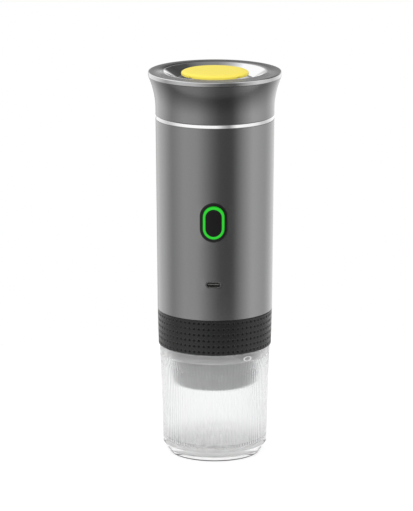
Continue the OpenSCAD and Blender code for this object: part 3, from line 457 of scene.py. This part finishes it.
trim_outline = rounded([(TRIM_BORE_R, TRIM_Z[0], TRIM_ROUND), (TRIM_R, TRIM_Z[0], TRIM_ROUND),
                        (TRIM_TOP_R, TRIM_Z[1], TRIM_ROUND), (TRIM_BORE_R, TRIM_Z[1], TRIM_ROUND)])
trim = surface("bright_trim_ring", turn_round(trim_outline[:, 0], trim_outline[:, 1], RING_COLUMNS),
               loop=True)
bright_plate = new_finish("bright_chrome_plate", "fcfcfc", PLATE_RIPPLE_MM, (0.07, 0.11), spread=0.01,
                          Metallic=1.0)
dress(trim, bright_plate, "trim_ring", "main")


# Power button: a black frame set in the shell, a clear ring lit green from the board behind it, and a black
# cap that is pressed. All three are moulded, and follow the shell's curve in front. The frame and the cap
# are satin and nearly black, and the ring glows evenly all round.
BUTTON_Z = sum(corner.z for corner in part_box("button_frame")) / 2 / MM
LIGHT_DROP = 0.35
LIGHT_Z = BUTTON_Z - LIGHT_DROP
FACE_R = 34.59
FRAME_HALF = (8.0, 11.65)
RING_HALF = (6.25, 9.55)
CAP_HALF = (4.78, 8.08)
BUTTON_BACK = -2.75
FRAME_STEPS = [(0, BUTTON_BACK), (0, -0.2), (0.05, -0.05), (0.15, 0.05), (0.3, 0.1), (1.4, 0.1),
               (1.56, 0.05), (1.66, -0.05), (1.7, -0.2), (1.7, BUTTON_BACK)]
RING_STEPS = [(0, BUTTON_BACK), (0, -0.3), (0.06, -0.2), (0.2, -0.14), (0.45, -0.08), (0.72, -0.06),
              (1.0, -0.08), (1.25, -0.14), (1.39, -0.2), (1.45, -0.3), (1.45, BUTTON_BACK)]
CAP_STEPS = [(CAP_HALF[0], BUTTON_BACK), (0, BUTTON_BACK), (0, -0.25), (0.05, -0.1), (0.15, 0.0), (0.3, 0.06),
             (0.5, 0.1), (1.2, 0.14), (2.4, 0.17), (CAP_HALF[0], 0.18)]
END_POINTS = 33
MOULD_RIPPLE_MM = 3.0


def stadium(name, middle_z, half, steps, loop):
    """A form with straight sides and half-round ends, bent round the machine's axis. Each step is an inset
    from the outline and a rise from the face's radius, and a step inset to the middle closes the form. A
    point's way out in front is the root of its radius squared less its way across squared."""
    inset, rise = np.array(steps, float).T
    end = np.linspace(0, np.pi, END_POINTS)
    turn = np.concatenate([end, np.pi + end])
    shift = np.repeat([half[1] - half[0], half[0] - half[1]], len(end))
    across = (half[0] - inset)[:, None] * np.cos(turn)
    up = middle_z + shift + (half[0] - inset)[:, None] * np.sin(turn)
    out = np.sqrt((FACE_R + rise)[:, None] ** 2 - across ** 2)
    return surface(name, np.stack([across, -out, up], axis=-1), loop=loop)


button_frame = stadium("black_button_frame", BUTTON_Z, FRAME_HALF, FRAME_STEPS, True)
frame_black = new_finish("satin_black_abs", "0c0c0c", MOULD_RIPPLE_MM, (0.42, 0.50))
dress(button_frame, frame_black, "button_frame", "main")

light_ring = stadium("green_light_ring", LIGHT_Z, RING_HALF, RING_STEPS, True)
green_light = new_finish("lit_green_acrylic", "146a18", MOULD_RIPPLE_MM, (0.33, 0.37),
                         Emission_Color=linear("26e02c"), Emission_Strength=0.66)
dress(light_ring, green_light, "light_ring", "main")

power_cap = stadium("black_power_cap", LIGHT_Z, CAP_HALF, CAP_STEPS, False)
cap_black = new_finish("sparked_black_abs", "0a0a0a", SPARK_GRAIN_MM, (0.48, 0.58), IOR=1.4)
dress(power_cap, cap_black, "power_button", "power")


# Charging socket: a drawn steel shell with a tongue moulded in grey nylon inside, soldered to the board and
# seen through a slot in the body. The tongue is matt and darker than the shell.
socket_nylon = new_finish("moulded_grey_nylon", "5c5c5a", SPARK_GRAIN_MM, (0.40, 0.50))
paint(socket_nylon, ["socket_tongue"])


# Grip ring: a rubber band moulded over the brew head, with rows of round dimples to hold it by when it is
# twisted off. It is nearly black with a low sheen, and its dimples look darker than the rubber round them.
GRIP_LOW = (33.4, 66.3)
GRIP_TOP = (33.9, 87.5)
GRIP_BORE_R = 31.6
GRIP_ROUND = 0.4
DIMPLE_COLUMNS = 72
DIMPLE_ROWS = 6
DIMPLE_MARGIN = 2.0
DIMPLE_R = 0.72
DIMPLE_DEPTH = 1.1
DIMPLE_POWER = 0.35
COLUMNS_PER_DIMPLE = 12
WALL_ROWS = 88
RUBBER_GRAIN_MM = 0.4


def dimple_depth(angle, height):
    """How deep the dimples are: a round bowl at each crossing of the rows and columns. Its depth is the full
    depth times a small power of one less the square of the distance from its middle over its radius, so its
    sides are steep, and it is 0 outside that radius."""
    pitch = 2 * np.pi / DIMPLE_COLUMNS
    row_pitch = (GRIP_TOP[1] - GRIP_LOW[1] - 2 * DIMPLE_MARGIN) / (DIMPLE_ROWS - 1)
    row = (height - GRIP_LOW[1] - DIMPLE_MARGIN) / row_pitch
    across = (angle / pitch - np.round(angle / pitch)) * pitch * GRIP_TOP[0]
    up = (row - np.clip(np.round(row), 0, DIMPLE_ROWS - 1)) * row_pitch
    away = np.clip((across ** 2 + up ** 2) / DIMPLE_R ** 2, 0, 1)
    return DIMPLE_DEPTH * (1 - away) ** DIMPLE_POWER


edge = rounded([(GRIP_BORE_R, GRIP_LOW[1], 0), (*GRIP_LOW, GRIP_ROUND), (*GRIP_TOP, GRIP_ROUND),
                (GRIP_BORE_R, GRIP_TOP[1], 0)])
edge_half = len(edge) // 2
wall = np.linspace(edge[edge_half - 1], edge[edge_half], WALL_ROWS + 2)[1:-1]
grip_outline = np.concatenate([edge[:edge_half], wall, edge[edge_half:]])
grip_angle = full_turn(DIMPLE_COLUMNS * COLUMNS_PER_DIMPLE)
on_wall = np.zeros(len(grip_outline))
on_wall[edge_half:edge_half + WALL_ROWS] = 1
dents = on_wall[:, None] * dimple_depth(grip_angle[None], grip_outline[:, 1:])
grip = surface("dimpled_grip_ring",
               turn_round(grip_outline[:, :1] - dents, grip_outline[:, 1], len(grip_angle)), loop=True)
grip_rubber = new_finish("moulded_rubber", "131313", RUBBER_GRAIN_MM, (0.25, 0.29), spread=0.06, IOR=1.55)
dress(grip, grip_rubber, "grip_ring", "brew_head")


# Nozzle: the brew head's grey skirt and nozzle, moulded in one with the spout under it. It is polypropylene
# with an even satin face, and is seen through the cup.
nozzle_plastic = new_finish("satin_grey_polypropylene", "aaaaaa", SPARK_GRAIN_MM, (0.38, 0.48))
paint(nozzle_plastic, ["nozzle_shell"])


# Cup: a drinking cup, moulded in copolyester, that slides over the brew head's skirt and hangs by its seal.
# It is clear and smooth outside, with a raised oval on its collar painted opaque white, and frosted and
# fluted inside. The lowest edge of its chamfered foot is painted dark grey as contact shadow, the fillet
# round the inner floor is painted darker grey as shade, and the recess's roof under the floor is frosted and
# painted pale grey as shade. Its IORs are lower than the plastic's own, to match how it looks.
CUP_RIM = (32.6, 66.0)
CUP_SHOULDER = (30.8, 6.4)
CUP_FOOT_R = 26.5
CUP_RECESS = (24.0, 3.0)
CUP_BORE_R = 29.6
CUP_COLLAR_Z = 60.3
CUP_FLUTE_Z = 53.0
CUP_FLOOR_Z = 7.0
RECESS_ROUND = 0.8
FOOT_BORE_ROUND = 0.5
FOOT_ROUND = 0.3
# The foot's lowest edge, set apart by the next two numbers, is painted dark grey as the contact shadow where
# the cup stands.
SHADED_FOOT_OUT = 0.504
SHADED_FOOT_Z = 0.75
SHOULDER_ROUND = 1.0
CUP_RIM_ROUND = 0.5
LEDGE_ROUND = 3.0
FLOOR_FILLET = 3.2
FLUTES = 96
FLUTE_ROOT_R = 27.8
FLUTE_DEPTH = 0.22
FLUTE_FADE = 1.5
FLUTED_FROM_R = 20
COLUMNS_PER_FLUTE = 8
MARK_ANGLE = math.radians(-52.5)
MARK_Z = 62.75
MARK_HALF = (2.5, 1.3)
MARK_RISE = 0.25
MARK_LINE = 0.2
MARK_REACH = 1.7
MARK_ROWS = 20
CLEAR_RIPPLE_MM = 6.0
FROST_MM = 1.0

cup_outline = rounded([(0, CUP_RECESS[1], 0), (*CUP_RECESS, RECESS_ROUND),
                       (CUP_RECESS[0], 0, FOOT_BORE_ROUND), (CUP_FOOT_R, 0, FOOT_ROUND),
                       (CUP_FOOT_R + SHADED_FOOT_OUT, SHADED_FOOT_Z, 0), (*CUP_SHOULDER, SHOULDER_ROUND),
                       (*CUP_RIM, CUP_RIM_ROUND),
                       (CUP_BORE_R, CUP_RIM[1], CUP_RIM_ROUND), (CUP_BORE_R, CUP_COLLAR_Z, LEDGE_ROUND),
                       (FLUTE_ROOT_R, CUP_FLUTE_Z, LEDGE_ROUND), (FLUTE_ROOT_R, CUP_FLOOR_Z, FLOOR_FILLET),
                       (0, CUP_FLOOR_Z, 0)])
cup_angle = full_turn(FLUTES * COLUMNS_PER_FLUTE)

# The mark needs rows of its own on the plain outer wall.
mark_row = int(np.argmax(cup_outline[:, 1] > MARK_Z))
mark_z = MARK_Z + np.linspace(-MARK_REACH, MARK_REACH, MARK_ROWS) * MARK_HALF[1]
mark_r = np.interp(mark_z, [CUP_SHOULDER[1], CUP_RIM[1]], [CUP_SHOULDER[0], CUP_RIM[0]])
cup_outline = np.insert(cup_outline, mark_row, np.stack([mark_r, mark_z], axis=-1), axis=0)

# The flutes are a cosine round the inner wall, which fades out under the collar. The mark's line is a bell
# curve of the distance from an oval.
past_rim = np.arange(len(cup_outline)) > np.argmax(cup_outline[:, 1])
inner_wall = past_rim & (cup_outline[:, 0] > FLUTED_FROM_R)
ridge = np.clip((CUP_COLLAR_Z - cup_outline[:, 1]) / FLUTE_FADE, 0, 1) * inner_wall
flutes = FLUTE_DEPTH * ridge[:, None] * (0.5 + 0.5 * np.cos(FLUTES * cup_angle))[None]
cup_radius = cup_outline[:, :1] - flutes
from_mark = (cup_angle - MARK_ANGLE + np.pi) % (2 * np.pi) - np.pi
oval = np.hypot(from_mark[None] * CUP_RIM[0] / MARK_HALF[0], (mark_z[:, None] - MARK_Z) / MARK_HALF[1])
cup_radius[mark_row:mark_row + MARK_ROWS] += MARK_RISE * np.exp(-((oval - 1) / MARK_LINE) ** 2)
cup = surface("fluted_cup", turn_round(cup_radius, cup_outline[:, 1], len(cup_angle)))
clear_plastic = new_finish("clear_copolyester", "fafafa", CLEAR_RIPPLE_MM, (0.02, 0.04), spread=0.0,
                           Transmission_Weight=1.0, IOR=1.22)
dress(cup, clear_plastic, "cup", "cup")

# Where the faces lie tells which finish they have. The slacks take in faces that start at an edge.
FACE_SLACK = 0.1
FLOOR_SLACK = 0.05
RECESS_SLACK = 0.3
RECESS_ROOF_Z = 2.5
SHADED_FOOT_IN = 0.7
MARK_BAND = 0.22
MARK_OUTSIDE = 1

face_middle = np.empty(len(cup.data.polygons) * 3)
cup.data.polygons.foreach_get("center", face_middle)
face_x, face_y, face_z = face_middle.reshape(-1, 3).T / MM
face_r = np.hypot(face_x, face_y)
inside = face_r < CUP_BORE_R + FACE_SLACK
on_collar = inside & (face_z > CUP_COLLAR_Z - FLUTE_FADE)
on_lining = inside & (face_z > CUP_FLOOR_Z - FACE_SLACK) & ~on_collar
# Painted shade: the fillet round the inner floor is painted darker grey.
on_shaded_fillet = on_lining & (face_z < CUP_FLOOR_Z + FLOOR_FILLET)
on_floor = on_lining & (face_z < CUP_FLOOR_Z + FLOOR_SLACK)
# Partly painted shade: the recess's roof is frosted, and painted pale grey as shade.
on_shaded_roof = (face_r < CUP_RECESS[0] + RECESS_SLACK) & (face_z > RECESS_ROOF_Z)
on_shaded_roof &= face_z < CUP_RECESS[1] + FACE_SLACK
# Painted contact shadow: the foot's lowest edge.
on_shaded_foot = (face_r > CUP_FOOT_R - SHADED_FOOT_IN) & (face_z < SHADED_FOOT_Z)
across_mark = (np.arctan2(face_y, face_x) - MARK_ANGLE) * CUP_RIM[0] / MARK_HALF[0]
off_line = np.abs(np.hypot(across_mark, (face_z - MARK_Z) / MARK_HALF[1]) - 1)
# The oval's faces are painted opaque white.
on_mark = (off_line < MARK_BAND) & (face_r > CUP_BORE_R + MARK_OUTSIDE)

# Each finish has its colour, roughness, how much light it lets through, its IOR and its faces. A later one
# takes faces over from an earlier one.
# The recess's roof, the fillet and the foot's edge are painted grey as shade. The foot's edge is darkest, as
# contact shadow.
CUP_FINISHES = [("frosted_recess_painted_shade", "e0e0e0", (0.35, 0.45), 0.8, 1.3, on_shaded_roof),
                ("frosted_mark", "f2f2f2", (0.45, 0.55), 0.0, 1.5, on_mark),
                ("frosted_collar", "e8e8e8", (0.35, 0.40), 0.65, 1.3, on_collar),
                ("foot_painted_contact_shadow", "606060", (0.45, 0.55), 0.0, 1.3, on_shaded_foot),
                ("frosted_flutes", "f4f5f5", (0.46, 0.52), 1.0, 1.2, on_lining),
                ("fillet_painted_shade", "d0d0d0", (0.46, 0.52), 1.0, 1.3, on_shaded_fillet),
                ("frosted_floor", "ffffff", (0.45, 0.55), 1.0, 1.3, on_floor)]
cup_index = np.zeros(len(face_z), dtype=np.int32)
for number, (name, colour, roughness, passing, ior, faces) in enumerate(CUP_FINISHES, start=1):
    cup.data.materials.append(new_finish(name, colour, FROST_MM, roughness, spread=0.0,
                                         Transmission_Weight=passing, IOR=ior))
    cup_index[faces] = number
cup.data.polygons.foreach_set("material_index", cup_index)


# Lid: a spun shell that flares out to an upright rim, lacquered like the body. The rim's edge is given a
# brighter, glossier copy of the lacquer as a painted highlight, so that its glints show white. It is crimped
# to the dark core that screws into the tank's neck.
LID_R = 34.9
LID_Z = 204.3
FLARE_Z = 207.3
RIM_R = 39.2
RIM_Z = 230.0
LIP_H = 2.5
RIM_ROUND = 0.6
LID_WALL = 1.2
DISH_R = 30.4
SEAT_GAP = 0.3
SEAT_BEVEL = 0.15
SKIRT_BEVEL = 0.2
SKIRT_ROUND = 0.3
SKIRT_CUT = 0.08
SKIRT_HOLD = 0.45
FLARE_POINTS = 40
LIP_POINTS = 12
LIP_RIPPLE_MM = 1.5

# The flare is an arc that leaves the skirt upright and ends at the lip, and the hollow behind it is the
# same arc, one wall further in.
flare_rise = RIM_Z - LIP_H - FLARE_Z
flare_out = RIM_R - LID_R
flare_r = (flare_rise ** 2 + flare_out ** 2) / (2 * flare_out)
flare_turn = np.linspace(0, math.asin(flare_rise / flare_r), FLARE_POINTS)
flare = np.stack([LID_R + flare_r * (1 - np.cos(flare_turn)), FLARE_Z + flare_r * np.sin(flare_turn)],
                 axis=-1)
hollow = np.stack([LID_R + flare_r - (flare_r + LID_WALL) * np.cos(flare_turn),
                   FLARE_Z + (flare_r + LID_WALL) * np.sin(flare_turn)], axis=-1)[::-1]
lip_turn = np.linspace(0, np.pi / 2, LIP_POINTS)
lip_middle = np.array([RIM_R - RIM_ROUND, RIM_Z - RIM_ROUND])
lip = lip_middle + RIM_ROUND * np.stack([np.cos(lip_turn), np.sin(lip_turn)], axis=-1)
lip = np.concatenate([[[RIM_R, RIM_Z - LIP_H + EDGE_HOLD], [RIM_R, RIM_Z - RIM_ROUND - EDGE_HOLD]], lip])
rim_flat = np.array([[RIM_R - RIM_ROUND - EDGE_HOLD, RIM_Z], [DISH_R + SEAT_GAP + SEAT_BEVEL, RIM_Z],
                     [DISH_R + SEAT_GAP, RIM_Z - SEAT_BEVEL], [DISH_R + SEAT_GAP, RIM_Z - LID_WALL]])
skirt_foot = np.array([[LID_R - LID_WALL, LID_Z + SKIRT_BEVEL], [LID_R - LID_WALL + SKIRT_BEVEL, LID_Z],
                       [LID_R - SKIRT_ROUND, LID_Z], [LID_R - SKIRT_CUT, LID_Z + SKIRT_CUT],
                       [LID_R, LID_Z + SKIRT_ROUND], [LID_R, LID_Z + SKIRT_HOLD]])
lid_outline = np.concatenate([skirt_foot, flare, lip, rim_flat, hollow])
lid = surface("flared_lid_shell", turn_round(lid_outline[:, 0], lid_outline[:, 1], RING_COLUMNS), loop=True)
dress(lid, satin_lacquer, "lid_shell", "lid")
# Painted highlight: the lip takes a brighter, glossier copy of the lacquer, so that it shows white.
lid.data.materials.append(new_finish("lip_painted_highlight", "e4e4e4", LIP_RIPPLE_MM, (0.10, 0.14), spread=0.01,
                                     Metallic=1.0))
first_lip = len(skirt_foot) + len(flare)
on_lip = np.zeros((len(lid_outline), RING_COLUMNS), dtype=np.int32)
on_lip[first_lip:first_lip + len(lip) - 1] = 1
lid.data.polygons.foreach_set("material_index", on_lip.ravel())


# Dish: a steel dish let into the lid's rim, with a flat floor round the vent button. It is pressed and
# polished to a mirror, so it shows the panels above it as bright and dark glints.
DISH_FLOOR = (22.6, 225.3)
DISH_T = 1.2
DISH_LAP = 0.25
DISH_LAP_ROUND = (0.2, 0.25)
DISH_MOUTH = (0.4, 0.5)
DISH_FLOOR_ROUND = (0.8, 1.0)
DISH_UNDER = 0.4
WELL_R = 8.6
WELL_ROUND = 0.3
POLISH_RIPPLE_MM = 5.0

dish_under_z = DISH_FLOOR[1] - DISH_T
dish_outline = rounded([(DISH_R + DISH_LAP, RIM_Z - DISH_T, DISH_LAP_ROUND[0]),
                        (DISH_R + DISH_LAP, RIM_Z, DISH_LAP_ROUND[1]),
                        (DISH_R - DISH_MOUTH[0], RIM_Z, DISH_MOUTH[1]), (*DISH_FLOOR, DISH_FLOOR_ROUND[0]),
                        (WELL_R, DISH_FLOOR[1], WELL_ROUND), (WELL_R, dish_under_z, 0),
                        (DISH_FLOOR[0] + DISH_UNDER, dish_under_z, DISH_FLOOR_ROUND[1])])
dish = surface("polished_dish", turn_round(dish_outline[:, 0], dish_outline[:, 1], RING_COLUMNS), loop=True)
polish = new_finish("polished_steel", "fbfbfb", POLISH_RIPPLE_MM, (0.04, 0.07), spread=0.01, Metallic=1.0)
dress(dish, polish, "lid_dish", "lid")


# Vent button: a cap moulded in yellow ABS on the vent valve's stem, pressed to let air into the tank. It has
# a softly rounded edge and four small finger notches under it, and an even satin face. The spring is given
# its own copy of its mesh.
VENT_R = 19.8
VENT_Z = (228.0, 230.4)
VENT_CROWN = (3.5, 1.4)
VENT_EDGE_ROUND = 0.2
VENT_POCKET = (8.4, 1.2)
POCKET_ROUND = 0.3
NOTCHES = 4
NOTCH_W = 2.6
NOTCH_H = 1.0
NOTCH_DEPTH = 1.2
NOTCH_SLACK = 0.01
VENT_COLUMNS = 720
CROWN_POINTS = 24

pocket_z = VENT_Z[0] + VENT_POCKET[1]
vent_outline = rounded([(0, pocket_z, 0), (VENT_POCKET[0], pocket_z, POCKET_ROUND),
                        (VENT_POCKET[0], VENT_Z[0], POCKET_ROUND), (VENT_R - NOTCH_DEPTH, VENT_Z[0], 0),
                        (VENT_R, VENT_Z[0], VENT_EDGE_ROUND), (VENT_R, VENT_Z[0] + NOTCH_H, 0)])

# The crown's edge is a quarter of an ellipse.
crown_turn = np.linspace(0, np.pi / 2, CROWN_POINTS)
crown_edge = np.stack([VENT_R - VENT_CROWN[0] * (1 - np.cos(crown_turn)),
                       VENT_Z[1] - VENT_CROWN[1] * (1 - np.sin(crown_turn))], axis=-1)
vent_outline = np.concatenate([vent_outline, crown_edge, [[0, VENT_Z[1]]]])
notch_pitch = 2 * np.pi / NOTCHES
from_notch = np.abs((full_turn(VENT_COLUMNS) % notch_pitch) - notch_pitch / 2) * VENT_R
notch = (from_notch < NOTCH_W / 2)[None] & (vent_outline[:, 1:] < VENT_Z[0] + NOTCH_H - NOTCH_SLACK)
notch &= vent_outline[:, :1] > VENT_R - NOTCH_DEPTH
vent_radius = np.where(notch, VENT_R - NOTCH_DEPTH, vent_outline[:, :1])
vent = surface("notched_vent_button", turn_round(vent_radius, vent_outline[:, 1], VENT_COLUMNS))
yellow_abs = new_finish("satin_yellow_abs", "ffea58", SPARK_GRAIN_MM, (0.42, 0.52), spread=0.02)
dress(vent, yellow_abs, "vent_button", "vent")
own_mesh(nodes["vent_spring"])
